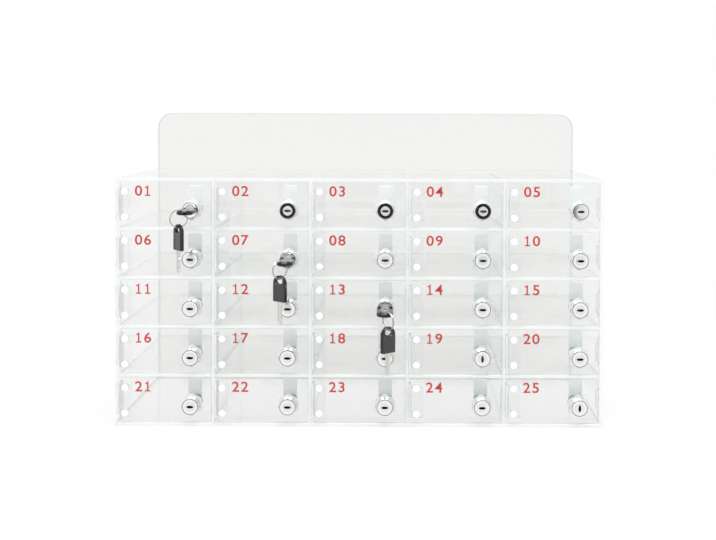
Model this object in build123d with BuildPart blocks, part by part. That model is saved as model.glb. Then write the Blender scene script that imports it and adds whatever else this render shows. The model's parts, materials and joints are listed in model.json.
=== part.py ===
from build123d import *
from math import atan2, degrees, hypot, sqrt
import os

os.makedirs("parts", exist_ok=True)

# Clear acrylic locker box for phones: 25 small hinged doors, each with its own cam lock.
# Millimetres, +Z up, front towards -Y. The origin is the centre of the bottom sheet's underside.
# The carcass is a crate of slotted sheets, and a taller back sheet stands above it as a header.
# Doors are numbered by rows from the top left: 01 to 05, then 06 to 10, down to 25.
# The locks are drawn unlocked, with their cams upright behind the doors.

# ---- carcass ----
COLUMNS = 5
ROWS = 5
CELL_WIDTH = 94.0
CELL_HEIGHT = 46.0
SHEET = 3.0                  # thickness of every acrylic sheet
SHEET_DEPTH = 177.0          # front to back, without the back sheet
HEADER_RISE = 66.0           # back sheet above the top sheet
HEADER_RADIUS = 17.0
HALVING_GAP = 0.1            # on each side of a sheet in a crossed slot

# ---- doors and hinges ----
DOOR_GAP = 0.5               # round a closed door
LEAF_WIDTH = 13.3            # from the pin's axis to the leaf's free edge
LEAF_HEIGHT = 33.0
KNUCKLE_RADIUS = 1.2         # from the pin's axis to the flats, and half of a leaf's thickness
KNUCKLE_LENGTH = 11.0        # of the door leaf's middle knuckle
KNUCKLE_CORNER = 0.7         # cut off a knuckle's outer corners
HINGE_GAP = 0.2              # between the two leaves, along the pin and round their knuckles

# ---- locks ----
LOCK_TO_WALL = 20.6          # from a lock's axis to the wall that its cam turns into
LOCK_BELOW_HINGE = 5.7
HEAD_RADIUS = 9.5            # against the door
HEAD_FRONT_RADIUS = 8.2
HEAD_THICKNESS = 5.0
BARREL_RADIUS = 8.0
BARREL_FLATS = 13.0          # across the two flats that stop the barrel turning in the door
BARREL_LENGTH = 16.0         # behind the door
PLUG_RADIUS = 4.5
PLUG_GAP = 0.05              # running clearance in the barrel
PLUG_PROUD = 0.3
PLUG_END_GAP = 0.2           # between the barrel's end and the cam
KEYWAY_GAP = 0.15            # round a key's blade
UPRIGHT_KEYWAYS = (19, 25)   # doors whose keyway stands upright while the cam points up
CAM_WIDTH = 14.0
CAM_THICKNESS = 1.5
CAM_CORNER = 2.0
CAM_SHORT_OF_FACE = 0.3      # a locked cam stops this far inside the wall's far face
CAM_SLOT_GAP = 0.8           # round the cam and its sweep in the wall's slot

# ---- keys and rings ----
CAP_WIDTH = 16.0
CAP_LENGTH = 25.5
CAP_THICKNESS = 4.0
HOLE_LENGTH = 8.4            # across the cap, where the ring goes through
HOLE_WIDTH = 6.0
HOLE_FROM_END = 5.2
BLADE_WIDTH = 7.0
BLADE_THICKNESS = 1.6
BLADE_LENGTH = 21.5
BLADE_CORNER = 1.6
NECK = 5.0                   # of blade left between a held key's cap and the plug
RING_RADIUS = 8.5            # to the middle of the flattened wire
RING_WIRE = 1.2              # thickness in the ring's plane
RING_WIDTH = 1.6             # two turns side by side
RING_BESIDE_HOLE = 5.5       # ring's centre, level, from the middle of the held key's hole
RING_BELOW_KEY = 5.4         # ring's centre below the middle of the held key
HANG_GAP = 0.55              # between the ring and the top of the second key's hole

# key sets: ring's direction from the held key's hole, and the way the hanging key faces
KEY_SETS = {
    1: {"ring": (-0.88, -0.47), "faces": (-0.78, -0.63)},
    7: {"ring": (-0.71, -0.70), "faces": (-0.59, -0.81)},
    13: {"ring": (0.60, -0.80), "faces": (0.60, -0.80)},
}

# ---- worked out from them ----
PITCH_X = CELL_WIDTH + SHEET
PITCH_Z = CELL_HEIGHT + SHEET
WIDTH = COLUMNS * PITCH_X + SHEET
HEIGHT = ROWS * PITCH_Z + SHEET
LEFT = -WIDTH / 2
FRONT = -SHEET_DEPTH / 2
REAR = SHEET_DEPTH / 2
HALVING_WIDTH = SHEET + 2 * HALVING_GAP
HALVING_DEPTH = SHEET_DEPTH / 2 + HALVING_GAP
PIN_Y = FRONT - KNUCKLE_RADIUS
LEAF_THICKNESS = 2 * KNUCKLE_RADIUS
KNUCKLE_REACH = hypot(KNUCKLE_RADIUS, KNUCKLE_RADIUS - KNUCKLE_CORNER)
KNUCKLE_ROOM = KNUCKLE_REACH + HINGE_GAP
END_KNUCKLE = (LEAF_HEIGHT - KNUCKLE_LENGTH) / 2 - HINGE_GAP
HEAD_FACE = FRONT - HEAD_THICKNESS
HEAD_TAPER = degrees(atan2(HEAD_RADIUS - HEAD_FRONT_RADIUS, HEAD_THICKNESS))
PLUG_FACE = HEAD_FACE - PLUG_PROUD
BARREL_END = FRONT + SHEET + BARREL_LENGTH
CAM_Y = BARREL_END + PLUG_END_GAP
CAM_REACH = LOCK_TO_WALL + SHEET - CAM_SHORT_OF_FACE
CAM_SWEEP = hypot(CAM_REACH, CAM_WIDTH / 2 - CAM_CORNER)
KEYWAY_DEPTH = BLADE_LENGTH - NECK + KEYWAY_GAP


def sheet_face(column):
    """x of the right face of the upright at the left of this column."""
    return LEFT + SHEET + column * PITCH_X


def cell_middle(row):
    """z of the middle of this row, counted from the top."""
    return HEIGHT - SHEET - CELL_HEIGHT / 2 - row * PITCH_Z


def cell_of(number):
    """Left face and middle height of a numbered door's cell."""
    row, column = divmod(number - 1, COLUMNS)
    return sheet_face(column), cell_middle(row)


def lock_of(number):
    """x and z of a numbered door's lock."""
    face, middle = cell_of(number)
    return face + CELL_WIDTH - LOCK_TO_WALL, middle - LOCK_BELOW_HINGE


def facing_front(x, y, z):
    """Plane square to the locks: local x to the right, local y up, positive extrudes to the front."""
    return Plane(origin=(x, y, z), x_dir=(1, 0, 0), z_dir=(0, -1, 0))


# ---- back sheet: closes the cells, and stands above them with two rounded corners ----
with BuildPart() as back_panel:
    with BuildSketch(facing_front(0, REAR, 0)) as outline:
        Rectangle(WIDTH, HEIGHT + HEADER_RISE, align=(Align.CENTER, Align.MIN))
        fillet(outline.vertices().group_by(Axis.Y)[-1], radius=HEADER_RADIUS)
    extrude(amount=-SHEET)
back_panel.part.label = "back_panel"
export_step(back_panel.part, "parts/back_panel.step")

# ---- uprights: two sides and the dividers, with a slot for the cam that turns down into it ----
slot_top = sqrt(CAM_SWEEP**2 - LOCK_TO_WALL**2) + CAM_SLOT_GAP
slot_bottom = CAM_WIDTH / 2 + CAM_SLOT_GAP
slot_height = slot_top + slot_bottom
slot_above_lock = (slot_top - slot_bottom) / 2

with BuildPart() as uprights:
    for column in range(COLUMNS + 1):
        with BuildSketch(Plane.YZ.offset(sheet_face(column) - SHEET)):
            with Locations((0, HEIGHT / 2)):
                Rectangle(SHEET_DEPTH, HEIGHT - 2 * SHEET)
            lock_heights = [cell_middle(row) - LOCK_BELOW_HINGE for row in range(ROWS)]
            with Locations([(CAM_Y + CAM_THICKNESS / 2, z + slot_above_lock) for z in lock_heights]):
                Rectangle(CAM_THICKNESS + 2 * CAM_SLOT_GAP, slot_height, mode=Mode.SUBTRACT)
            if 0 < column < COLUMNS:
                crossings = [level * PITCH_Z + SHEET / 2 for level in range(1, ROWS)]
                with Locations([(REAR - HALVING_DEPTH / 2, z) for z in crossings]):
                    Rectangle(HALVING_DEPTH, HALVING_WIDTH, mode=Mode.SUBTRACT)
        extrude(amount=SHEET)
uprights.part.label = "uprights"
export_step(uprights.part, "parts/uprights.step")

# ---- levels: bottom, top and shelves, slotted from the front where they cross the dividers ----
with BuildPart() as levels:
    for level in range(ROWS + 1):
        shelf = 0 < level < ROWS
        with BuildSketch(Plane.XY.offset(level * PITCH_Z)):
            Rectangle(WIDTH - 2 * SHEET if shelf else WIDTH, SHEET_DEPTH)
            if shelf:
                dividers = [sheet_face(column) - SHEET / 2 for column in range(1, COLUMNS)]
                with Locations([(x, FRONT + HALVING_DEPTH / 2) for x in dividers]):
                    Rectangle(HALVING_WIDTH, HALVING_DEPTH, mode=Mode.SUBTRACT)
        extrude(amount=SHEET)
levels.part.label = "levels"
export_step(levels.part, "parts/levels.step")

# ---- fixed hinge leaves, on the right faces of the uprights, each with two end knuckles ----
with BuildPart() as hinge_leaves:
    for column in range(COLUMNS):
        with BuildSketch(Plane.YZ.offset(sheet_face(column))):
            for row in range(ROWS):
                with Locations((PIN_Y, cell_middle(row))):
                    Rectangle(LEAF_WIDTH, LEAF_HEIGHT, align=(Align.MIN, Align.CENTER))
                    Rectangle(2 * KNUCKLE_ROOM, KNUCKLE_LENGTH + 2 * HINGE_GAP, mode=Mode.SUBTRACT)
        extrude(amount=LEAF_THICKNESS)
    for row in range(ROWS):
        top_end = cell_middle(row) + LEAF_HEIGHT / 2 - END_KNUCKLE
        for knuckle_z in (cell_middle(row) - LEAF_HEIGHT / 2, top_end):
            with BuildSketch(Plane.XY.offset(knuckle_z)) as knuckles:
                with Locations([(sheet_face(column) + KNUCKLE_RADIUS, PIN_Y) for column in range(COLUMNS)]):
                    Rectangle(LEAF_THICKNESS, LEAF_THICKNESS)
                chamfer(knuckles.vertices().group_by(Axis.Y)[0], length=KNUCKLE_CORNER)
            extrude(amount=END_KNUCKLE)
hinge_leaves.part.label = "hinge_leaves"
export_step(hinge_leaves.part, "parts/hinge_leaves.step")


# ---- doors: pane, moving hinge leaf, and the lock's head and barrel clamped through the pane ----
def make_door(number):
    face, middle = cell_of(number)
    pin_x = face + KNUCKLE_RADIUS
    lock_x, lock_z = lock_of(number)
    left = pin_x + KNUCKLE_ROOM + HINGE_GAP
    right = face + CELL_WIDTH - DOOR_GAP
    with BuildPart() as door:
        with BuildSketch(facing_front(left, FRONT, middle)):
            Rectangle(right - left, CELL_HEIGHT - 2 * DOOR_GAP, align=(Align.MIN, Align.CENTER))
        extrude(amount=-SHEET)
        # leaf on the pane's front, notched at both ends for the fixed leaf's knuckles
        with BuildSketch(facing_front(pin_x, FRONT, middle)):
            Rectangle(LEAF_WIDTH, LEAF_HEIGHT, align=(Align.MIN, Align.CENTER))
            with Locations((0, LEAF_HEIGHT / 2), (0, -LEAF_HEIGHT / 2)):
                Rectangle(2 * KNUCKLE_ROOM, 2 * (END_KNUCKLE + HINGE_GAP), mode=Mode.SUBTRACT)
        extrude(amount=LEAF_THICKNESS)
        with BuildSketch(Plane.XY.offset(middle - KNUCKLE_LENGTH / 2)) as knuckle:
            with Locations((pin_x, PIN_Y)):
                Rectangle(LEAF_THICKNESS, LEAF_THICKNESS)
            chamfer(knuckle.vertices().group_by(Axis.X)[0], length=KNUCKLE_CORNER)
        extrude(amount=KNUCKLE_LENGTH)
        # tapered lock head in front, flatted barrel behind, and one bore through both for the plug
        with BuildSketch(facing_front(lock_x, FRONT, lock_z)):
            Circle(HEAD_RADIUS)
        extrude(amount=HEAD_THICKNESS, taper=HEAD_TAPER)
        with BuildSketch(facing_front(lock_x, BARREL_END, lock_z)):
            Circle(BARREL_RADIUS)
            Rectangle(2 * BARREL_RADIUS, BARREL_FLATS, mode=Mode.INTERSECT)
        extrude(amount=BARREL_END - FRONT)
        with BuildSketch(facing_front(lock_x, BARREL_END, lock_z)):
            Circle(PLUG_RADIUS + PLUG_GAP)
        extrude(amount=BARREL_END - HEAD_FACE, mode=Mode.SUBTRACT)
    door.part.label = f"door_{number:02d}"
    export_step(door.part, f"parts/door_{number:02d}.step")


# ---- keys: a moulded cap with a wide hole near its round end, and a flat blade ----
def make_key(plane):
    """A key in this plane, its hole's middle on the plane's origin and its blade towards local -Y."""
    cap_top = HOLE_FROM_END
    cap_foot = cap_top - CAP_LENGTH
    with BuildPart() as key:
        with BuildSketch(plane.offset(-CAP_THICKNESS / 2)) as cap:
            with Locations((0, cap_top)):
                Rectangle(CAP_WIDTH, CAP_LENGTH, align=(Align.CENTER, Align.MAX))
            fillet(cap.vertices().group_by(Axis.Y)[-1], radius=CAP_WIDTH / 2 - HINGE_GAP)
            SlotOverall(HOLE_LENGTH, HOLE_WIDTH, mode=Mode.SUBTRACT)
        extrude(amount=CAP_THICKNESS)
        with BuildSketch(plane.offset(-BLADE_THICKNESS / 2)) as blade:
            with Locations((0, cap_foot)):
                Rectangle(BLADE_WIDTH, BLADE_LENGTH, align=(Align.CENTER, Align.MAX))
            chamfer(blade.vertices().group_by(Axis.Y)[0], length=BLADE_CORNER)
        extrude(amount=BLADE_THICKNESS)
    return key.part


# ---- locks: plug and cam, with the held key's own solid where the photographed set has one ----
def make_lock(number):
    lock_x, lock_z = lock_of(number)
    with BuildPart() as lock:
        with BuildSketch(facing_front(lock_x, CAM_Y, lock_z)):
            Circle(PLUG_RADIUS)
        extrude(amount=CAM_Y - PLUG_FACE)
        with BuildSketch(facing_front(lock_x, PLUG_FACE, lock_z)):
            Rectangle(
                BLADE_WIDTH + 2 * KEYWAY_GAP,
                BLADE_THICKNESS + 2 * KEYWAY_GAP,
                rotation=90 if number in UPRIGHT_KEYWAYS else 0,
            )
        extrude(amount=-KEYWAY_DEPTH, mode=Mode.SUBTRACT)
        with BuildSketch(facing_front(lock_x, CAM_Y, lock_z)) as cam:
            with Locations((0, -CAM_WIDTH / 2)):
                Rectangle(CAM_WIDTH, CAM_REACH + CAM_WIDTH / 2, align=(Align.CENTER, Align.MIN))
            chamfer(cam.vertices(), length=CAM_CORNER)
        extrude(amount=-CAM_THICKNESS)
        if number in KEY_SETS:
            add(make_key(held_key_plane(number)))
    lock.part.label = f"lock_{number:02d}"
    export_step(lock.part, f"parts/lock_{number:02d}.step")


def held_key_plane(number):
    """Level plane of a key in its lock, blade towards the door, on the middle of the key's hole."""
    lock_x, lock_z = lock_of(number)
    hole_y = PLUG_FACE - NECK - CAP_LENGTH + HOLE_FROM_END
    return Plane(origin=(lock_x, hole_y, lock_z), x_dir=(-1, 0, 0), z_dir=(0, 0, 1))


# ---- ring sets: a split ring through the held key's hole, and a second key hanging in it ----
def make_key_set(number):
    out_x, out_y = KEY_SETS[number]["ring"]
    face_x, face_y = KEY_SETS[number]["faces"]
    hole = held_key_plane(number).origin
    centre = hole + Vector(out_x, out_y, 0) * RING_BESIDE_HOLE - Vector(0, 0, RING_BELOW_KEY)
    ring_plane = Plane(origin=centre, x_dir=(out_x, out_y, 0), z_dir=(-out_y, out_x, 0))
    with BuildPart() as ring:
        with BuildSketch(ring_plane.offset(-RING_WIDTH / 2)):
            Circle(RING_RADIUS + RING_WIRE / 2)
            Circle(RING_RADIUS - RING_WIRE / 2, mode=Mode.SUBTRACT)
        extrude(amount=RING_WIDTH)
    ring.part.label = f"key_ring_{number:02d}"
    export_step(ring.part, f"parts/key_ring_{number:02d}.step")

    hang = RING_RADIUS - RING_WIRE / 2 + HOLE_WIDTH / 2 - HANG_GAP
    seat = centre - Vector(0, 0, hang)
    spare = make_key(Plane(origin=seat, x_dir=(-face_y, face_x, 0), z_dir=(face_x, face_y, 0)))
    spare.label = f"spare_key_{number:02d}"
    export_step(spare, f"parts/spare_key_{number:02d}.step")


for number in range(1, ROWS * COLUMNS + 1):
    make_door(number)
    make_lock(number)
for number in KEY_SETS:
    make_key_set(number)
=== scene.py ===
import bmesh
import bpy
import json
import math
from mathutils import Matrix, Vector


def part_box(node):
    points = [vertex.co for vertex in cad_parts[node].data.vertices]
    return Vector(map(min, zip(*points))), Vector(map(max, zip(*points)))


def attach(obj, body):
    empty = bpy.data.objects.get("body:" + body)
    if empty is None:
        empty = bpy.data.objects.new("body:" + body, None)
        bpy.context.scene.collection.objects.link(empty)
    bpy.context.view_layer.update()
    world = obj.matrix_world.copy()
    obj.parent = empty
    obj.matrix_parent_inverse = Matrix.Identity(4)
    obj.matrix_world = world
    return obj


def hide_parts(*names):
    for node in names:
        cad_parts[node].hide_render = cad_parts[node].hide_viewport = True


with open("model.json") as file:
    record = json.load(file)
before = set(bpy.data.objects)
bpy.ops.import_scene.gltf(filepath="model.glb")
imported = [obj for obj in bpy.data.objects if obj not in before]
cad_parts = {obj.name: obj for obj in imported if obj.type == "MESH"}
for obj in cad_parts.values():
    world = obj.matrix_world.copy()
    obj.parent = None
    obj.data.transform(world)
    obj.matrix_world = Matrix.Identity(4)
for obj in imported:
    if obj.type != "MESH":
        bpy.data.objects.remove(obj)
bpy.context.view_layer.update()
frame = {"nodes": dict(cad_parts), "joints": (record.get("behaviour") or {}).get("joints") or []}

# A clear acrylic box of 25 phone lockers. Metres, in the frame's axes: x right, y back, z up.
MM = 0.001
DOORS = range(1, 26)
COLUMNS = 5
SAMPLE = 2                       # the door and lock whose solids give the sizes that all 25 share
CARCASS = "carcass"
JOINTS = {joint["name"]: joint for joint in frame["joints"]}

SHEET = 3.0 * MM
BROAD = 0.9                      # how squarely a face must look along a sheet's thin axis to be broad
EDGE_RADIUS = 0.25 * MM
HEADER_EDGE = 0.8 * MM           # the back sheet's corners are broken further

# hinge: two clear leaves on a thin pin, each held by two rivets
KNUCKLE_RADIUS = 1.2 * MM
KNUCKLE_ROOM = 1.5 * MM          # from the pin's axis to the other leaf
HINGE_GAP = 0.2 * MM
LEAF_WIDTH = 13.3 * MM
LEAF_HEIGHT = 33.0 * MM
LEAF_EDGE = 0.35 * MM
KNUCKLE_LENGTH = 11.0 * MM
ARM_OVERLAP = 0.3 * MM           # how far a knuckle's arm runs into its leaf
PIN_RADIUS = 0.45 * MM
PIN_SHORT = 0.5 * MM             # from each end of the pin to the leaf's end
RIVET_FROM_PIN = 6.7 * MM
RIVET_FROM_MIDDLE = 12.7 * MM
RIVET_RADIUS = 3.4 * MM
RIVET_TAIL_RADIUS = 2.7 * MM
RIVET_SUNK = 0.1 * MM            # how far a head's foot sits in what it holds

# cam lock
HEAD_RADIUS = 9.5 * MM
HEAD_FRONT_RADIUS = 8.2 * MM
HEAD_THICKNESS = 5.0 * MM
GROOVE_INNER = 7.35 * MM
GROOVE_OUTER = 7.95 * MM
GROOVE_DEPTH = 0.3 * MM
MARK_REACH = (8.9 * MM, 9.45 * MM)       # from the lock's axis
MARK_DEPTH = (-1.3 * MM, -0.3 * MM)      # from the door's front
BARREL_RADIUS = 8.0 * MM
BARREL_HALF_FLATS = 6.5 * MM
BARREL_IN_HEAD = 0.5 * MM
THREAD_PITCH = 1.5 * MM
THREAD_HEIGHT = 0.4 * MM
NUT_RADIUS = 11.5 * MM           # nuts are measured to their corners
NUT_DEPTH = 2.6 * MM
NUT_EDGE = 0.25 * MM
PLUG_RADIUS = 4.5 * MM
PLUG_ROOM = 0.05 * MM
PLUG_PROUD = 0.3 * MM
KEYWAY_HALF = (3.5 * MM, 1.35 * MM)
KEYWAY_DEPTH = 9.0 * MM
UPRIGHT_KEYWAYS = (19, 25)
CAM_HALF_WIDTH = 7.0 * MM
CAM_THICKNESS = 1.5 * MM
CAM_CORNER = 2.0 * MM
CAM_EDGE = 0.2 * MM
CAM_NUT_RADIUS = 4.4 * MM
CAM_NUT_DEPTH = 2.4 * MM

# keys
KEY_SETS = (1, 7, 13)
CAP_WIDTH = 16.0 * MM
CAP_LENGTH = 25.5 * MM
CAP_THICKNESS = 4.0 * MM
CAP_CHAMFER = 0.78 * MM
CAP_RIM = 0.15 * MM              # round the sunk faces
CAP_SUNK = 0.12 * MM
HOLE_FROM_END = 5.2 * MM
HOLE_LENGTH = 8.4 * MM
HOLE_WIDTH = 6.0 * MM
BLADE_LENGTH = 21.5 * MM
BLADE_THICKNESS = 1.6 * MM
BLADE_IN_CAP = 2.0 * MM
SHOULDER_HALF = 3.5 * MM
SHOULDER_LENGTH = 3.0 * MM
SHOULDER_SLOPE = 0.6 * MM
STEM_HALF = 2.6 * MM
TIP_HALF = 1.0 * MM
TIP_LENGTH = 1.6 * MM
FIRST_CUT = 2.4 * MM             # below the shoulder
CUT_PITCH = 3.6 * MM
CUT_LENGTH = 2.4 * MM
CUT_FLAT = (0.9 * MM, 1.5 * MM)  # where a cut's flat bottom starts and ends
CUT_DEPTHS = (0.7 * MM, 1.1 * MM, 0.5 * MM, 0.9 * MM)
MILLED_GROOVE = (-1.5 * MM, -0.7 * MM)
GROOVE_FROM_TIP = 2.5 * MM
GROOVE_PROUD = 0.03 * MM         # it is drawn as a strip painted darker for its shade, this far out of the flat
RING_RADIUS = 8.5 * MM
WIRE_HALF_WIDTH = 0.58 * MM
WIRE_HALF_DEPTH = 0.38 * MM
RING_TURN_GAP = 0.4 * MM         # from the ring's middle plane to each of its two turns

# numbers
DIGIT_HEIGHT = 10.3 * MM
DIGIT_ADVANCE = 9.0 * MM
DIGIT_STROKE = 1.5 * MM
DIGIT_WIDENING = 1.1
TYPE_SIZE = 14.0 * MM            # size at which the typeface is drawn before it is fitted to the height
TYPE_BOLDER = 0.2 * MM
FOOT_REACH = 2.7 * MM            # the digit one's foot and flag, from its middle
FLAG_REACH = 2.6 * MM
FILM = 0.05 * MM                 # thickness of the cut vinyl
NUMBER_FROM_PIN = 24.4 * MM
NUMBER_ABOVE_MIDDLE = 13.4 * MM


# ---------------------------------------------------------------- materials

def colour(hex_code):
    """An sRGB hex colour as linear RGBA."""
    channels = [int(hex_code[i : i + 2], 16) / 255 for i in (1, 3, 5)]
    linear = [c / 12.92 if c <= 0.04045 else ((c + 0.055) / 1.055) ** 2.4 for c in channels]
    return (*linear, 1.0)


def new_material(name):
    """A material with an empty node tree."""
    material = bpy.data.materials.new(name)
    material.use_nodes = True
    material.node_tree.nodes.clear()
    return material


def node(material, kind, settings=None, links=None):
    """Adds a node, sets its inputs and properties, and links other nodes' outputs to its inputs."""
    made = material.node_tree.nodes.new(kind)
    for key, value in (settings or {}).items():
        if isinstance(key, int) or key in made.inputs:
            made.inputs[key].default_value = value
        else:
            setattr(made, key, value)
    for key, source in (links or {}).items():
        material.node_tree.links.new(source, made.inputs[key])
    return made


def surface(material, shader):
    """Ends a material with this shader."""
    node(material, "ShaderNodeOutputMaterial", links={"Surface": shader})
    return material


def grain(material, size):
    """Noise whose blobs are about this size, in metres, on object coordinates."""
    place = node(material, "ShaderNodeTexCoord").outputs["Object"]
    settings = {"Scale": 1 / size, "Detail": 3.0}
    return node(material, "ShaderNodeTexNoise", settings, {"Vector": place}).outputs["Fac"]


def clear_plastic(name, tint, haze, body_hex, shade_hex, roughness):
    """A tinted window with some of the plastic's pale body, and a mirror towards grazing."""
    material = new_material(name)
    facing = node(material, "ShaderNodeLayerWeight", {"Blend": 0.5}).outputs["Facing"]
    steep = {"operation": "POWER", 1: 4.0}
    glancing = node(material, "ShaderNodeMath", steep, {0: facing}).outputs[0]
    shares = {"To Min": 0.03, "To Max": 0.55}
    mirror_share = node(material, "ShaderNodeMapRange", shares, {"Value": glancing}).outputs["Result"]
    window = node(material, "ShaderNodeBsdfTransparent", {"Color": colour(tint)}).outputs[0]
    gloss = {"Color": colour("#FFFFFF"), "Roughness": roughness}
    mirror = node(material, "ShaderNodeBsdfGlossy", gloss).outputs[0]
    pane_links = {0: mirror_share, 1: window, 2: mirror}
    pane = node(material, "ShaderNodeMixShader", links=pane_links).outputs[0]
    flow = grain(material, 60 * MM)
    pale = {"data_type": "RGBA", 6: colour(body_hex), 7: colour(shade_hex)}
    pale_links = {"Base Color": node(material, "ShaderNodeMix", pale, {"Factor": flow}).outputs[2]}
    moulded = {"Roughness": 0.25, "IOR": 1.49}
    body = node(material, "ShaderNodeBsdfPrincipled", moulded, pale_links).outputs[0]
    mixed = node(material, "ShaderNodeMixShader", {0: haze}, {1: pane, 2: body}).outputs[0]
    return surface(material, mixed)


def opaque(name, base_hex, shade_hex, roughness, spread, size, metallic=0.0, ior=1.5, relief=0.0):
    """A solid finish whose colour, roughness and any relief wander over blobs of this size."""
    material = new_material(name)
    blobs = grain(material, size)
    colours = {"data_type": "RGBA", 6: colour(base_hex), 7: colour(shade_hex)}
    reach = {"To Min": roughness - spread, "To Max": roughness + spread}
    links = {
        "Base Color": node(material, "ShaderNodeMix", colours, {"Factor": blobs}).outputs[2],
        "Roughness": node(material, "ShaderNodeMapRange", reach, {"Value": blobs}).outputs["Result"],
    }
    if relief:
        height = {"Strength": 1.0, "Distance": relief}
        links["Normal"] = node(material, "ShaderNodeBump", height, {"Height": blobs}).outputs[0]
    shader = node(material, "ShaderNodeBsdfPrincipled", {"Metallic": metallic, "IOR": ior}, links)
    return surface(material, shader.outputs[0])


def threaded(name, base_hex):
    """Plated metal with a thread along y, drawn as ridges of its pitch."""
    material = new_material(name)
    place = node(material, "ShaderNodeTexCoord").outputs["Object"]
    waves = {"wave_type": "BANDS", "bands_direction": "Y", "Scale": math.tau / (20 * THREAD_PITCH)}
    ridges = node(material, "ShaderNodeTexWave", waves, {"Vector": place}).outputs["Fac"]
    height = {"Strength": 1.0, "Distance": THREAD_HEIGHT}
    bump = node(material, "ShaderNodeBump", height, {"Height": ridges})
    shader = node(
        material,
        "ShaderNodeBsdfPrincipled",
        {"Base Color": colour(base_hex), "Metallic": 1.0, "Roughness": 0.25},
        {"Normal": bump.outputs[0]},
    )
    return surface(material, shader.outputs[0])


# Cast acrylic sheet: nearly invisible face on, mirror-like at a glance.
ACRYLIC = clear_plastic("cast_acrylic_sheet", "#FEFEFE", 0.03, "#E6E8E8", "#E0E2E2", 0.02)
# The back sheet is a touch greyer, which makes the header show against white.
BACK_ACRYLIC = clear_plastic("cast_acrylic_back_sheet", "#FBFBFA", 0.07, "#D2D3D1", "#CBCDCB", 0.02)
# Its polished edge is painted greyer than the cut ones: painted shade that draws the header's thin
# outline.
BACK_EDGE = clear_plastic("back_sheet_edge_painted_shade", "#F4F5F4", 0.6, "#D6D8D7", "#CFD2D1", 0.05)
# Laser-cut edge of the sheet, painted as a pale, bright line with a breath of mint: a painted highlight
# for the light that real edges gather.
CUT_EDGE = clear_plastic("acrylic_edge_painted_highlight", "#FBFEFD", 0.7, "#F5F9F8", "#EDF2F1", 0.08)
# Moulded clear hinge: softer and a little milkier than the sheet.
HINGE_PLASTIC = clear_plastic("moulded_clear_hinge_plastic", "#FDFDFD", 0.07, "#F0F2F2", "#EAECEC", 0.1)
# Its narrow sides and knuckles gather the light and look white.
HINGE_EDGE = clear_plastic("moulded_hinge_edge", "#FDFEFE", 0.6, "#FFFFFF", "#FAFCFC", 0.1)
# Moulded nylon rivets: plain white dots with a soft sheen.
NYLON = opaque("white_nylon_rivet", "#FFFFFF", "#F9FAFA", 0.35, 0.05, 2 * MM)
# Bright chrome on a polished casting: a clean mirror, hardly tinted.
CHROME = opaque("polished_chrome_plate", "#F6F7F8", "#EFF0F2", 0.07, 0.02, 3 * MM, metallic=1.0)
# The groove between a lock's face and its rim only gathers shade.
RIM_GROOVE = opaque("shaded_rim_groove", "#6E7072", "#606264", 0.45, 0.05, 1 * MM, metallic=1.0)
# Satin nickel on the plug's face: bright, but too soft to mirror the room.
PLUG_NICKEL = opaque("satin_nickel_plug", "#F4F4F2", "#E9E9E7", 0.34, 0.04, 1 * MM, metallic=1.0)
# Chrome over a cast thread: fine ridges that break the mirror into grey bands.
BARREL_CHROME = threaded("threaded_chrome_barrel", "#B2B6B9")
# Zinc plate on cams, nuts and pins: a milky, half-bright skin, faintly mint from its passivation.
ZINC = opaque("clear_passivated_zinc", "#FCFFFE", "#F4FBF9", 0.45, 0.05, 4 * MM, metallic=0.15)
# Keyway painted almost black: painted shade for the wafers deep inside it. The two marks on the head are
# as dark.
KEYWAY_DARK = opaque("keyway_painted_shade_and_head_marks", "#0B0A09", "#151210", 0.75, 0.05, 1 * MM)
# Nickel on a rolled brass blade: a warm, soft shine.
BLADE_NICKEL = opaque("nickel_plated_key_blade", "#DEDEDA", "#D2D2CD", 0.28, 0.05, 2 * MM, metallic=1.0)
# The groove that the cutter leaves along it is duller, and painted darker: painted shade for its depth.
MILLED_NICKEL = opaque("milled_groove_duller_with_painted_shade", "#C4C4C0", "#B6B6B2", 0.35, 0.05, 1 * MM, metallic=1.0)
# Nickel on drawn spring wire: bright and narrow highlights.
RING_STEEL = opaque("nickel_plated_spring_steel", "#C2C2C0", "#B0B0AD", 0.16, 0.04, 2 * MM, metallic=1.0)
# Moulded in a polished tool: deep black with sharp highlights along the chamfers.
BLACK_ABS = opaque("glossy_black_moulded_abs", "#060607", "#0B0B0C", 0.08, 0.02, 5 * MM)
# The cap's flat faces have a moulded leather grain: a fine mottle of black and dark grey.
GRAIN_SIZE = 0.7 * MM
GRAIN_HEIGHT = 0.003 * MM
GRAINED_ABS = opaque(
    "leather_grained_black_abs", "#18181A", "#343436", 0.09, 0.04, GRAIN_SIZE, ior=1.6, relief=GRAIN_HEIGHT
)
# Cut vinyl film: an even, slightly soft red.
RED_VINYL = opaque("red_cut_vinyl_number", "#CB3A33", "#C23830", 0.45, 0.05, 3 * MM)


# ---------------------------------------------------------------- mesh helpers

def drawn(shape, finishes):
    """A closed bmesh as a mesh that can be placed again and again."""
    bmesh.ops.remove_doubles(shape, verts=shape.verts, dist=1e-7)
    bmesh.ops.recalc_face_normals(shape, faces=shape.faces)
    mesh = bpy.data.meshes.new("pattern")
    shape.to_mesh(mesh)
    shape.free()
    mesh.polygons.foreach_set("use_smooth", [True] * len(mesh.polygons))
    mesh.set_sharp_from_angle(angle=math.radians(30))
    for finish in finishes:
        mesh.materials.append(finish)
    return mesh


def placed(name, pattern, place, body, stands_for=()):
    """A copy of a mesh, moved to its place, riding on a body."""
    mesh = pattern.copy()
    mesh.name = name
    mesh.transform(place if isinstance(place, Matrix) else Matrix.Translation(place))
    made = bpy.data.objects.new(name, mesh)
    bpy.context.scene.collection.objects.link(made)
    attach(made, body)
    if stands_for:
        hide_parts(*stands_for)
    return made


def painted(target, before, finish):
    """Gives a finish to the faces that weren't there before, and returns them."""
    fresh = [face for face in target.faces if face not in before]
    for face in fresh:
        face.material_index = finish
    return fresh


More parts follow.
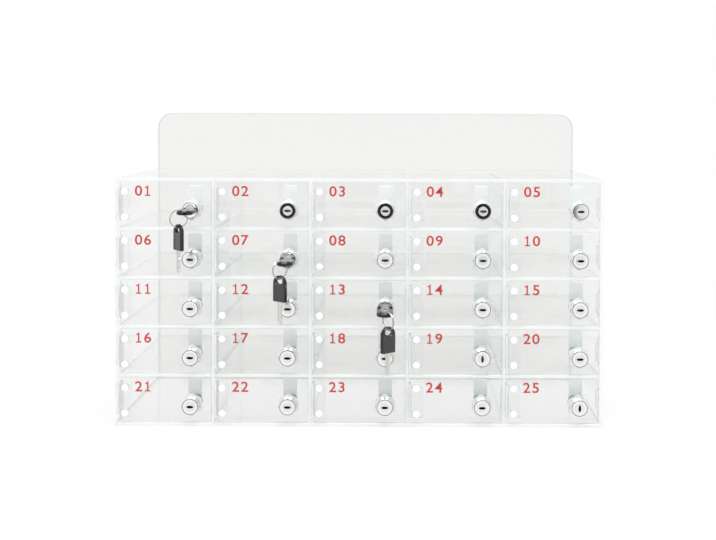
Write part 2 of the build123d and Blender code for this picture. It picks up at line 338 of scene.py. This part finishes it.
def lines_at(verts):
    """The edges that meet at these vertices, each once and in a steady order."""
    return list(dict.fromkeys(line for vert in verts for line in vert.link_edges))


def add_block(target, low, high, edge=0.0, finish=0):
    """A box between two corners, with its edges rounded off where a radius is given."""
    before = set(target.faces)
    low, high = Vector(low), Vector(high)
    verts = bmesh.ops.create_cube(target, size=1.0)["verts"]
    bmesh.ops.scale(target, vec=high - low, verts=verts)
    bmesh.ops.translate(target, vec=(low + high) / 2, verts=verts)
    if edge:
        bmesh.ops.bevel(
            target,
            geom=lines_at(verts),
            offset=edge,
            affect="EDGES",
            segments=2,
            profile=0.5,
            material=-1,
        )
    return painted(target, before, finish)


def add_turned(target, profile, origin, axis, segments, finish=0):
    """A lathe form: profile points are (radius, distance along the axis) from the origin."""
    before = set(target.faces)
    origin, axis = Vector(origin), Vector(axis).normalized()
    side = axis.orthogonal().normalized()
    verts = [target.verts.new(origin + side * radius + axis * along) for radius, along in profile]
    lines = [target.edges.new(pair) for pair in zip(verts, verts[1:])]
    bmesh.ops.spin(
        target,
        geom=verts + lines,
        cent=origin,
        axis=axis,
        angle=math.tau,
        steps=segments,
        use_merge=True,
    )
    poles = [vert for vert in target.verts if (vert.co - origin).cross(axis).length < 1e-7]
    bmesh.ops.remove_doubles(target, verts=poles, dist=1e-6)
    return painted(target, before, finish)


def add_hexagon(target, centre, radius, depth, finish=0):
    """A hexagon nut's body on an axis along y, its corners broken."""
    before = set(target.faces)
    nut = bmesh.ops.create_cone(
        target, cap_ends=True, segments=6, radius1=radius, radius2=radius, depth=depth
    )["verts"]
    bmesh.ops.transform(
        target, matrix=Matrix.Translation(centre) @ Matrix.Rotation(math.pi / 2, 4, "X"), verts=nut
    )
    bmesh.ops.bevel(
        target,
        geom=lines_at(nut),
        offset=NUT_EDGE,
        affect="EDGES",
        segments=2,
        profile=0.5,
        material=-1,
    )
    return painted(target, before, finish)


def add_copy(target, pattern, place):
    """Another copy of a mesh inside a bmesh."""
    start = len(target.verts)
    target.from_mesh(pattern)
    target.verts.ensure_lookup_table()
    bmesh.ops.translate(target, vec=place, verts=target.verts[start:])


def pin_of(number):
    """On the hinge pin's axis, level with the middle of the cell."""
    return Vector(JOINTS[f"door_{number:02d}_hinge"]["pos_m"])


def lock_of(number):
    """On the lock's axis, in the plane of the door's front."""
    return Vector(JOINTS[f"lock_{number:02d}_turn"]["pos_m"])


# ---------------------------------------------------------------- carcass

def make_sheets(name, thin_axis, finish, edge_finish=CUT_EDGE, broken=EDGE_RADIUS):
    """One node's sheets, faces clear and cut edges painted paler as a highlight, with every corner broken
    a little.
    """
    sheets = bmesh.new()
    sheets.from_mesh(frame["nodes"][name].data)
    bmesh.ops.remove_doubles(sheets, verts=sheets.verts, dist=1e-6)
    flat = math.radians(1)
    bmesh.ops.dissolve_limit(sheets, angle_limit=flat, verts=sheets.verts, edges=sheets.edges)
    corners = [line for line in sheets.edges if line.calc_face_angle(0) > math.radians(40)]
    bmesh.ops.bevel(
        sheets, geom=corners, offset=broken, affect="EDGES", segments=1, profile=0.5, material=-1
    )
    for face in sheets.faces:
        face.material_index = 0 if abs(face.normal[thin_axis]) > BROAD else 1
    pattern = drawn(sheets, [finish, edge_finish])
    placed(f"{name}_acrylic", pattern, Vector(), CARCASS, [name])


# ---------------------------------------------------------------- hinges

def add_rivet_head(target, centre, axis, radius, finish):
    """A low domed head."""
    dome = [
        (0.0, -RIVET_SUNK),
        (radius, -RIVET_SUNK),
        (radius, 0.25 * MM),
        (radius * 0.86, 0.55 * MM),
        (radius * 0.5, 0.8 * MM),
        (0.0, 0.9 * MM),
    ]
    add_turned(target, dome, centre, axis, segments=24, finish=finish)


def add_flush_end(target, centre, axis, finish):
    """A rivet's end, ground level with a sheet's outer face."""
    sunk, level = -0.6 * MM, -0.05 * MM
    disc = [(0.0, sunk), (RIVET_TAIL_RADIUS, sunk), (RIVET_TAIL_RADIUS, level), (0.0, level)]
    add_turned(target, disc, centre, axis, segments=24, finish=finish)


def add_leaf(target, low, high, thin_axis):
    """A leaf's plate, its broad faces clear and its rounded sides paler."""
    for face in add_block(target, low, high, edge=LEAF_EDGE):
        face.normal_update()
        face.material_index = 0 if abs(face.normal[thin_axis]) > BROAD else 1


def add_knuckle(target, low, high):
    """A round knuckle on the pin's axis, between two heights."""
    profile = [(0, 0), (KNUCKLE_RADIUS, 0), (KNUCKLE_RADIUS, high - low), (0, high - low)]
    add_turned(target, profile, (0, 0, low), (0, 0, 1), segments=16, finish=1)


def fixed_leaf(outer_wall):
    """The leaf on an upright, drawn from the pin's axis, with its rivets through the sheet."""
    leaf = bmesh.new()
    half, cut = LEAF_HEIGHT / 2, KNUCKLE_LENGTH / 2 + HINGE_GAP
    face_x = -KNUCKLE_RADIUS
    add_leaf(leaf, (face_x, KNUCKLE_ROOM, -half), (-face_x, LEAF_WIDTH, half), 0)
    for low, high in ((-half, -cut), (cut, half)):
        add_block(leaf, (face_x, 0, low), (-face_x, KNUCKLE_ROOM + ARM_OVERLAP, high))
        add_knuckle(leaf, low, high)
    for side in (-1, 1):
        hole = Vector((face_x, RIVET_FROM_PIN, side * RIVET_FROM_MIDDLE))
        add_rivet_head(leaf, hole + Vector((2 * KNUCKLE_RADIUS, 0, 0)), (1, 0, 0), RIVET_RADIUS, 2)
        tail = hole - Vector((SHEET, 0, 0))
        if outer_wall:
            add_flush_end(leaf, tail, (-1, 0, 0), 2)
        else:
            add_rivet_head(leaf, tail, (-1, 0, 0), RIVET_TAIL_RADIUS, 2)
    return drawn(leaf, [HINGE_PLASTIC, HINGE_EDGE, NYLON])


def make_fixed_leaves():
    """All fixed leaves, and plugs in the right wall, which is drilled like the other uprights."""
    outer, inner = fixed_leaf(True), fixed_leaf(False)
    leaves = bmesh.new()
    for number in DOORS:
        add_copy(leaves, outer if number % COLUMNS == 1 else inner, pin_of(number))
    wall_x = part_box("uprights")[1].x - SHEET
    for number in range(COLUMNS, len(DOORS) + 1, COLUMNS):
        pin = pin_of(number)
        for side in (-1, 1):
            hole = Vector((wall_x, pin.y + RIVET_FROM_PIN, pin.z + side * RIVET_FROM_MIDDLE))
            add_rivet_head(leaves, hole, (-1, 0, 0), RIVET_TAIL_RADIUS, 2)
    pattern = drawn(leaves, [HINGE_PLASTIC, HINGE_EDGE, NYLON])
    placed("fixed_hinge_leaves", pattern, Vector(), CARCASS, ["hinge_leaves"])


def make_hinge_pins():
    """A thin pin through each hinge's three knuckles."""
    pins = bmesh.new()
    half = LEAF_HEIGHT / 2 - PIN_SHORT
    profile = [(0, 0), (PIN_RADIUS, 0), (PIN_RADIUS, 2 * half), (0, 2 * half)]
    for number in DOORS:
        add_turned(pins, profile, pin_of(number) - Vector((0, 0, half)), (0, 0, 1), segments=12)
    placed("hinge_pins", drawn(pins, [ZINC]), Vector(), CARCASS)


# ---------------------------------------------------------------- doors, drawn from the pin's axis

def door_pane(size_low, size_high):
    """The pane, its faces clear and its cut edges painted paler as a highlight."""
    pane = bmesh.new()
    low = (KNUCKLE_ROOM + HINGE_GAP, KNUCKLE_RADIUS, size_low.z)
    high = (size_high.x, KNUCKLE_RADIUS + SHEET, size_high.z)
    for face in add_block(pane, low, high, edge=EDGE_RADIUS):
        face.normal_update()
        face.material_index = 0 if abs(face.normal.y) > BROAD else 1
    return drawn(pane, [ACRYLIC, CUT_EDGE])


def door_leaf():
    """The leaf on the door's front, with its middle knuckle and two rivets through the pane."""
    leaf = bmesh.new()
    half, middle = LEAF_HEIGHT / 2, KNUCKLE_LENGTH / 2
    front, back = -KNUCKLE_RADIUS, KNUCKLE_RADIUS
    add_leaf(leaf, (KNUCKLE_ROOM, front, -half), (LEAF_WIDTH, back, half), 1)
    add_block(leaf, (0, front, -middle), (KNUCKLE_ROOM + ARM_OVERLAP, back, middle))
    add_knuckle(leaf, -middle, middle)
    for side in (-1, 1):
        hole = Vector((RIVET_FROM_PIN, 0, side * RIVET_FROM_MIDDLE))
        add_rivet_head(leaf, hole + Vector((0, front, 0)), (0, -1, 0), RIVET_RADIUS, 2)
        add_rivet_head(leaf, hole + Vector((0, back + SHEET, 0)), (0, 1, 0), RIVET_TAIL_RADIUS, 2)
    return drawn(leaf, [HINGE_PLASTIC, HINGE_EDGE, NYLON])


def draw_digit(character):
    """One digit of cut film in the x-z plane, its front on y = 0 and its middle at the origin."""
    text = bpy.data.curves.new("digit", "FONT")
    text.body = character
    text.size = TYPE_SIZE
    text.offset = TYPE_BOLDER
    text.extrude = FILM / 2
    carrier = bpy.data.objects.new("digit", text)
    bpy.context.scene.collection.objects.link(carrier)
    bpy.context.view_layer.update()
    outline = bpy.data.meshes.new_from_object(carrier)
    bpy.data.objects.remove(carrier)
    digit = bmesh.new()
    digit.from_mesh(outline)
    low = [min(vert.co[axis] for vert in digit.verts) for axis in range(2)]
    high = [max(vert.co[axis] for vert in digit.verts) for axis in range(2)]
    middle = Vector(((low[0] + high[0]) / 2, (low[1] + high[1]) / 2, FILM / 2))
    bmesh.ops.translate(digit, vec=-middle, verts=digit.verts)
    taller = DIGIT_HEIGHT / (high[1] - low[1])
    bmesh.ops.scale(digit, vec=(taller * DIGIT_WIDENING, taller, 1), verts=digit.verts)
    bmesh.ops.rotate(
        digit, cent=(0, 0, 0), matrix=Matrix.Rotation(math.pi / 2, 3, "X"), verts=digit.verts
    )
    return drawn(digit, [RED_VINYL])


def draw_one():
    """The digit one, with a flag and a foot, placed as draw_digit places the others."""
    digit = bmesh.new()
    top, half = DIGIT_HEIGHT / 2, DIGIT_STROKE / 2
    foot, under_flag = 0.85 * DIGIT_STROKE - top, top - 2.5 * MM
    right = [(FOOT_REACH, -top), (FOOT_REACH, foot), (half, foot), (half, top), (-0.3 * MM, top)]
    left = [(-half, top - 1.1 * MM), (-FLAG_REACH, top - 1.4 * MM), (-FLAG_REACH, under_flag)]
    left += [(-half, under_flag), (-half, foot), (-FOOT_REACH, foot), (-FOOT_REACH, -top)]
    front = digit.faces.new([digit.verts.new((x, 0, z)) for x, z in right + left])
    raised = bmesh.ops.extrude_face_region(digit, geom=[front])["geom"]
    rear = [item for item in raised if isinstance(item, bmesh.types.BMVert)]
    bmesh.ops.translate(digit, vec=(0, FILM, 0), verts=rear)
    return drawn(digit, [RED_VINYL])


def number_pattern(number, digits):
    """A door's two digits, side by side."""
    pair = bmesh.new()
    for place, character in enumerate(f"{number:02d}"):
        add_copy(pair, digits[character], Vector(((place - 0.5) * DIGIT_ADVANCE, 0, 0)))
    return drawn(pair, [RED_VINYL])


# ---------------------------------------------------------------- locks, drawn from the door's front

def lock_housing(rear):
    """Grooved and tapered head, threaded barrel with two flats, and the nut that clamps them."""
    housing = bmesh.new()
    face = -HEAD_THICKNESS
    bore, sunk = PLUG_RADIUS + PLUG_ROOM, face + GROOVE_DEPTH
    mouth = [(bore, 0), (bore, face + 0.2 * MM), (bore + 0.2 * MM, face), (GROOVE_INNER, face)]
    groove = [(GROOVE_INNER, face), (GROOVE_INNER, sunk), (GROOVE_OUTER, sunk), (GROOVE_OUTER, face)]
    taper = [
        (GROOVE_OUTER, face),
        (HEAD_FRONT_RADIUS - 0.1 * MM, face + 0.02 * MM),
        (HEAD_FRONT_RADIUS + 0.05 * MM, face + 0.25 * MM),
        (HEAD_RADIUS - 0.15 * MM, -0.4 * MM),
        (HEAD_RADIUS, -0.2 * MM),
        (HEAD_RADIUS, 0),
        (bore, 0),
    ]
    for profile, finish in ((mouth, 0), (groove, 1), (taper, 0)):
        add_turned(housing, profile, (0, 0, 0), (0, 1, 0), segments=64, finish=finish)
    # two small marks on the head's foot show where the key points when open and when locked
    (inner, outer), (front, back) = MARK_REACH, MARK_DEPTH
    add_block(housing, (-outer, front, -1.2 * MM), (-inner, back, -0.4 * MM), finish=3)
    add_block(housing, (-0.4 * MM, front, -outer), (0.4 * MM, back, -inner), finish=3)
    sleeve, start = bore + 0.02 * MM, -BARREL_IN_HEAD
    tube = [(sleeve, start), (BARREL_RADIUS, start), (BARREL_RADIUS, rear), (sleeve, rear)]
    tube.append(tube[0])
    barrel = add_turned(housing, tube, (0, 0, 0), (0, 1, 0), segments=64, finish=2)
    for vert in {vert for side in barrel for vert in side.verts}:
        vert.co.z = max(-BARREL_HALF_FLATS, min(BARREL_HALF_FLATS, vert.co.z))
    add_hexagon(housing, (0, SHEET + NUT_DEPTH / 2, 0), NUT_RADIUS, NUT_DEPTH, finish=4)
    return drawn(housing, [CHROME, RIM_GROOVE, BARREL_CHROME, KEYWAY_DARK, ZINC])


def lock_plug(cam_front, upright):
    """A satin plug with a lens-shaped mouth and a deep keyway, painted dark as its shade."""
    plug = bmesh.new()
    face = PLUG_PROUD + HEAD_THICKNESS
    rim = bmesh.ops.create_circle(plug, segments=48, radius=PLUG_RADIUS)["verts"]
    mouth = bmesh.ops.create_circle(plug, segments=20, radius=1.0)["verts"]
    bmesh.ops.scale(plug, vec=(*KEYWAY_HALF, 1), verts=mouth)
    if upright:
        quarter = Matrix.Rotation(math.pi / 2, 3, "Z")
        bmesh.ops.rotate(plug, cent=(0, 0, 0), matrix=quarter, verts=mouth)
    mouth_lines, rim_lines = lines_at(mouth), lines_at(rim)
    bmesh.ops.triangle_fill(plug, edges=mouth_lines + rim_lines, use_beauty=True)
    before = set(plug.faces)
    sunk = bmesh.ops.extrude_edge_only(plug, edges=mouth_lines)["geom"]
    floor = [item for item in sunk if isinstance(item, bmesh.types.BMVert)]
    bmesh.ops.translate(plug, vec=(0, 0, -KEYWAY_DEPTH), verts=floor)
    floor_lines = [item for item in sunk if isinstance(item, bmesh.types.BMEdge)]
    bmesh.ops.edgenet_fill(plug, edges=floor_lines)
    painted(plug, before, 1)
    sides = bmesh.ops.extrude_edge_only(plug, edges=rim_lines)["geom"]
    rear = [item for item in sides if isinstance(item, bmesh.types.BMVert)]
    bmesh.ops.translate(plug, vec=(0, 0, -(cam_front + face)), verts=rear)
    bmesh.ops.holes_fill(plug, edges=plug.edges, sides=0)
    facing_front = Matrix.Translation((0, -face, 0)) @ Matrix.Rotation(math.pi / 2, 4, "X")
    bmesh.ops.transform(plug, matrix=facing_front, verts=plug.verts)
    return drawn(plug, [PLUG_NICKEL, KEYWAY_DARK])


def lock_cam(cam_front, cam_top):
    """A flat cam standing up behind the door, with the nut that holds it."""
    cam = bmesh.new()
    low = (-CAM_HALF_WIDTH, cam_front, -CAM_HALF_WIDTH)
    high = (CAM_HALF_WIDTH, cam_front + CAM_THICKNESS, cam_top)
    add_block(cam, low, high)
    corners = [line for line in cam.edges if abs(line.verts[0].co.y - line.verts[1].co.y) > 1 * MM]
    bmesh.ops.bevel(
        cam, geom=corners, offset=CAM_CORNER, affect="EDGES", segments=4, profile=0.5, material=-1
    )
    rims = [line for line in cam.edges if line.calc_face_angle(0) > math.radians(60)]
    bmesh.ops.bevel(
        cam, geom=rims, offset=CAM_EDGE, affect="EDGES", segments=1, profile=0.5, material=-1
    )
    nut_middle = cam_front + CAM_THICKNESS + CAM_NUT_DEPTH / 2
    add_hexagon(cam, (0, nut_middle, 0), CAM_NUT_RADIUS, CAM_NUT_DEPTH)
    return drawn(cam, [ZINC])


def make_doors():
    """All doors with their leaves, numbers and locks, sized from one door's and one lock's solids."""
    pin, lock = pin_of(SAMPLE), lock_of(SAMPLE)
    low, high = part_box(f"door_{SAMPLE:02d}")
    lock_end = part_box(f"lock_{SAMPLE:02d}")[1]
    cam_front, cam_top = lock_end.y - lock.y - CAM_THICKNESS, lock_end.z - lock.z
    pane, leaf = door_pane(low - pin, high - pin), door_leaf()
    housing, cam = lock_housing(high.y - lock.y), lock_cam(cam_front, cam_top)
    plugs = {upright: lock_plug(cam_front, upright) for upright in (False, True)}
    digits = {character: draw_digit(character) for character in "023456789"}
    digits["1"] = draw_one()
    digits_place = Vector((NUMBER_FROM_PIN, KNUCKLE_RADIUS - FILM, NUMBER_ABOVE_MIDDLE))
    for number in DOORS:
        tail = f"{number:02d}"
        door, turning = f"door_{tail}", f"lock_{tail}"
        pin, lock = pin_of(number), lock_of(number)
        plug, digit_pair = plugs[number in UPRIGHT_KEYWAYS], number_pattern(number, digits)
        placed(f"door_pane_{tail}", pane, pin, door, [door])
        placed(f"door_leaf_{tail}", leaf, pin, door)
        placed(f"number_{tail}", digit_pair, pin + digits_place, door)
        placed(f"lock_housing_{tail}", housing, lock, door)
        placed(f"lock_plug_{tail}", plug, lock, turning, [turning])
        placed(f"lock_cam_{tail}", cam, lock, turning)


# ---------------------------------------------------------------- keys and rings

def add_cap(target):
    """A moulded cap flat in x-y: round end, oval hole, chamfered rim and sunk grained faces."""
    half, top, foot = CAP_WIDTH / 2, HOLE_FROM_END, HOLE_FROM_END - CAP_LENGTH
    arch = [math.pi * step / 20 for step in range(21)]
    outline = [(half * math.cos(a), top - half + half * math.sin(a)) for a in arch]
    outline += [(-half, foot), (half, foot)]
    reach, radius = (HOLE_LENGTH - HOLE_WIDTH) / 2, HOLE_WIDTH / 2
    turn = [math.pi * step / 10 for step in range(11)]
    hole = [(reach + radius * math.sin(a), radius * math.cos(a)) for a in turn]
    hole += [(-reach - radius * math.sin(a), -radius * math.cos(a)) for a in turn]
    lines = []
    for loop in (outline, hole):
        verts = [target.verts.new((x, y, -CAP_THICKNESS / 2)) for x, y in loop]
        lines += [target.edges.new(pair) for pair in zip(verts, verts[1:] + verts[:1])]
    bmesh.ops.triangle_fill(target, edges=lines, use_beauty=True)
    raised = bmesh.ops.extrude_face_region(target, geom=list(target.faces))["geom"]
    upper = [item for item in raised if isinstance(item, bmesh.types.BMVert)]
    bmesh.ops.translate(target, vec=(0, 0, CAP_THICKNESS), verts=upper)
    bmesh.ops.recalc_face_normals(target, faces=target.faces)
    sharp = [line for line in target.edges if line.calc_face_angle(0) > math.radians(50)]
    bmesh.ops.bevel(
        target, geom=sharp, offset=CAP_CHAMFER, affect="EDGES", segments=1, profile=0.5, material=-1
    )
    for up in (1, -1):
        broad = [face for face in target.faces if face.normal.z * up > 0.999]
        bmesh.ops.inset_region(
            target, faces=broad, thickness=CAP_RIM, depth=-CAP_SUNK, use_boundary=True
        )
        for face in broad:
            face.material_index = 1


def add_blade(target):
    """A blade below the cap: shoulder, stem with cuts along one side, and a milled groove."""
    foot = HOLE_FROM_END - CAP_LENGTH
    tip, root = foot - BLADE_LENGTH, foot + BLADE_IN_CAP
    shoulder = foot - SHOULDER_LENGTH
    stem = shoulder - SHOULDER_SLOPE
    right = [(SHOULDER_HALF, root), (SHOULDER_HALF, shoulder), (STEM_HALF, stem)]
    for cut, depth in enumerate(CUT_DEPTHS):
        start = shoulder - FIRST_CUT - cut * CUT_PITCH
        bottom = STEM_HALF - depth
        right += [(STEM_HALF, start), (bottom, start - CUT_FLAT[0])]
        right += [(bottom, start - CUT_FLAT[1]), (STEM_HALF, start - CUT_LENGTH)]
    left = [(-TIP_HALF, tip), (-STEM_HALF, tip + TIP_LENGTH), (-STEM_HALF, stem)]
    left += [(-SHOULDER_HALF, shoulder), (-SHOULDER_HALF, root)]
    before = set(target.faces)
    outline = right + [(TIP_HALF, tip)] + left
    flat = target.faces.new([target.verts.new((x, y, -BLADE_THICKNESS / 2)) for x, y in outline])
    raised = bmesh.ops.extrude_face_region(target, geom=[flat])["geom"]
    upper = [item for item in raised if isinstance(item, bmesh.types.BMVert)]
    bmesh.ops.translate(target, vec=(0, 0, BLADE_THICKNESS), verts=upper)
    painted(target, before, 2)
    proud = BLADE_THICKNESS / 2 + GROOVE_PROUD
    from_x, to_x = MILLED_GROOVE
    add_block(target, (from_x, tip + GROOVE_FROM_TIP, -proud), (to_x, foot, proud), finish=3)


def draw_key():
    """A key from the middle of its hole: local x across the cap, blade towards -y."""
    key = bmesh.new()
    add_cap(key)
    add_blade(key)
    return drawn(key, [BLACK_ABS, GRAINED_ABS, BLADE_NICKEL, MILLED_NICKEL])


def turned_to(origin, x_dir, z_dir):
    """The placing that takes local x and z to these two directions."""
    x, z = Vector(x_dir).normalized(), Vector(z_dir).normalized()
    return Matrix.Translation(origin) @ Matrix((x, z.cross(x), z)).transposed().to_4x4()


def split_ring(centre, across):
    """Two close turns of flattened wire."""
    ring = bmesh.new()
    steps = [math.tau * step / 10 for step in range(11)]
    section = [(WIRE_HALF_WIDTH * math.cos(a), WIRE_HALF_DEPTH * math.sin(a)) for a in steps]
    for side in (-1, 1):
        wire = [(RING_RADIUS + out, side * RING_TURN_GAP + along) for out, along in section]
        add_turned(ring, wire, centre, across, segments=64)
    return drawn(ring, [RING_STEEL])


def make_key_sets():
    """A held key, its split ring and the spare key that hangs from it, for each lock that has one."""
    key = draw_key()
    for number in KEY_SETS:
        lock, turning = lock_of(number), f"lock_{number:02d}"
        ring_name, spare_name = f"key_ring_{number:02d}", f"spare_key_{number:02d}"
        hole = Vector((lock.x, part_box(turning)[0].y + HOLE_FROM_END, lock.z))
        held_place = turned_to(hole, (-1, 0, 0), (0, 0, 1))
        placed(f"held_key_{number:02d}", key, held_place, turning)

        swing = Vector(JOINTS[f"{ring_name}_swing"]["axis"])
        ring_low, ring_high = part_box(ring_name)
        ring = split_ring((ring_low + ring_high) / 2, (-swing.y, swing.x, 0))
        placed(f"{ring_name}_wire", ring, Vector(), ring_name, [ring_name])

        facing = Vector(JOINTS[f"{spare_name}_swing"]["axis"])
        low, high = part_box(spare_name)
        hole = Vector(((low.x + high.x) / 2, (low.y + high.y) / 2, high.z - HOLE_FROM_END))
        spare_place = turned_to(hole, (-facing.y, facing.x, 0), facing)
        placed(f"{spare_name}_body", key, spare_place, spare_name, [spare_name])


# ---------------------------------------------------------------- stage

def stage_panel(name, finish, place):
    """A flat square of stage, 1 m across before it is placed."""
    panel = bmesh.new()
    bmesh.ops.create_grid(panel, x_segments=1, y_segments=1, size=0.5)
    bmesh.ops.transform(panel, matrix=place, verts=panel.verts)
    mesh = bpy.data.meshes.new(name)
    panel.to_mesh(mesh)
    panel.free()
    mesh.materials.append(finish)
    made = bpy.data.objects.new(name, mesh)
    bpy.context.scene.collection.objects.link(made)
    return made


def white_for(tree, path, seen):
    """How much of the plain white a ray gets: this much, or all of it in a mirror or through glass."""
    highest = {"operation": "MAXIMUM"}
    mirrored = {0: path["Is Glossy Ray"], 1: path["Is Transmission Ray"]}
    in_mirrors = node(tree, "ShaderNodeMath", highest, mirrored).outputs[0]
    return node(tree, "ShaderNodeMath", highest, {0: seen, 1: in_mirrors}).outputs[0]


def make_floor():
    """White table that keeps a soft shadow near the box and runs into the white behind it."""
    finish = new_material("white_studio_floor")
    path = node(finish, "ShaderNodeLightPath").outputs
    place = node(finish, "ShaderNodeTexCoord").outputs["Object"]
    away = node(finish, "ShaderNodeVectorMath", {"operation": "LENGTH"}, {0: place}).outputs["Value"]
    fade = {"From Min": 0.35, "From Max": 0.9, "To Min": 0.8, "To Max": 1.0}
    glow_share = node(finish, "ShaderNodeMapRange", fade, {"Value": away}).outputs["Result"]
    seen_links = {0: path["Is Camera Ray"], 1: glow_share}
    seen = node(finish, "ShaderNodeMath", {"operation": "MULTIPLY"}, seen_links).outputs[0]
    matt = node(finish, "ShaderNodeBsdfDiffuse", {"Color": colour("#FDFDFD")}).outputs[0]
    glow = node(finish, "ShaderNodeEmission", {"Strength": 1.0}).outputs[0]
    links = {0: white_for(finish, path, seen), 1: matt, 2: glow}
    surface(finish, node(finish, "ShaderNodeMixShader", links=links).outputs[0])
    size = Matrix.Diagonal((16.0, 16.0, 1.0, 1.0))
    stage_panel("studio_floor", finish, Matrix.Translation((0, 0, -0.5 * MM)) @ size)


def only_mirrored(panel):
    """Leaves a panel to be seen in polished surfaces alone."""
    panel.visible_camera = False
    panel.visible_diffuse = False
    panel.visible_transmission = False
    panel.visible_shadow = False


def make_dark_card():
    """Card behind the camera that only the polished lock faces of the top row mirror."""
    finish = new_material("dark_studio_card")
    shader = node(finish, "ShaderNodeBsdfDiffuse", {"Color": colour("#242424")}).outputs[0]
    surface(finish, shader)
    size = Matrix.Diagonal((0.775, 0.17, 1.0, 1.0))
    place = Matrix.Translation((0.0875, -1.5, 0.085)) @ Matrix.Rotation(math.pi / 2, 4, "X")
    only_mirrored(stage_panel("dark_card", finish, place @ size))


def make_bright_panel():
    """Panel above the front, for the highlights on the keys' edges and on the lock heads."""
    finish = new_material("bright_studio_panel")
    surface(finish, node(finish, "ShaderNodeEmission", {"Strength": 7.0}).outputs[0])
    size = Matrix.Diagonal((1.6, 1.15, 1.0, 1.0))
    place = Matrix.Translation((0, -0.725, 1.4))
    only_mirrored(stage_panel("bright_panel", finish, place @ size))


def make_world():
    """White all round in what the camera and mirrors see, and a little dimmer as light."""
    world = bpy.data.worlds.new("white_studio")
    bpy.context.scene.world = world
    world.use_nodes = True
    world.node_tree.nodes.clear()
    path = node(world, "ShaderNodeLightPath").outputs
    white = {"Value": white_for(world, path, path["Is Camera Ray"])}
    strengths = {"To Min": 0.88, "To Max": 1.0}
    strength = {"Strength": node(world, "ShaderNodeMapRange", strengths, white).outputs["Result"]}
    background = node(world, "ShaderNodeBackground", {"Color": colour("#FFFFFF")}, strength)
    node(world, "ShaderNodeOutputWorld", links={"Surface": background.outputs[0]})


def make_lamp(name, place, aim, size, watts):
    """A rectangular softbox at a place, turned towards another."""
    lamp = bpy.data.lights.new(name, "AREA")
    lamp.shape = "RECTANGLE"
    lamp.size, lamp.size_y = size
    lamp.energy = watts
    holder = bpy.data.objects.new(name, lamp)
    holder.location = place
    holder.rotation_euler = (Vector(aim) - Vector(place)).to_track_quat("-Z", "Y").to_euler()
    bpy.context.scene.collection.objects.link(holder)


def make_camera():
    """Fitted to the photograph: level rows stay level, so the lens is shifted, not tilted."""
    lens = bpy.data.cameras.new("photo_camera")
    lens.sensor_width = 36.0
    lens.lens = 49.04
    lens.shift_x = -0.0541
    lens.shift_y = -0.1872
    lens.clip_end = 50.0
    camera = bpy.data.objects.new("photo_camera", lens)
    yaw, pitch, roll = 0.0024, -0.0172, -0.0034
    turn = Matrix.Rotation(yaw, 4, "Z") @ Matrix.Rotation(pitch, 4, "X")
    turn = turn @ Matrix.Rotation(roll, 4, "Y")
    place = Matrix.Translation((39.73 * MM, -1059.35 * MM, 307.55 * MM))
    camera.matrix_world = place @ turn @ Matrix.Rotation(math.pi / 2, 4, "X")
    bpy.context.scene.collection.objects.link(camera)
    bpy.context.scene.camera = camera


# ---------------------------------------------------------------- build

make_sheets("back_panel", 1, BACK_ACRYLIC, BACK_EDGE, HEADER_EDGE)
make_sheets("uprights", 0, ACRYLIC)
make_sheets("levels", 2, ACRYLIC)
make_fixed_leaves()
make_hinge_pins()
make_doors()
make_key_sets()

make_floor()
make_dark_card()
make_bright_panel()
make_world()
make_lamp("overhead_softbox", (0.1, -0.45, 1.5), aim=(0, -0.09, 0.15), size=(0.7, 0.3), watts=7.0)
make_lamp("left_softbox", (-1.6, -0.7, 0.7), aim=(0, 0, 0.1), size=(1.0, 1.2), watts=3.0)
make_camera()

scene = bpy.context.scene
scene.view_settings.view_transform = "Standard"
scene.cycles.transparent_max_bounces = 64
scene.cycles.max_bounces = 16
scene.cycles.glossy_bounces = 8
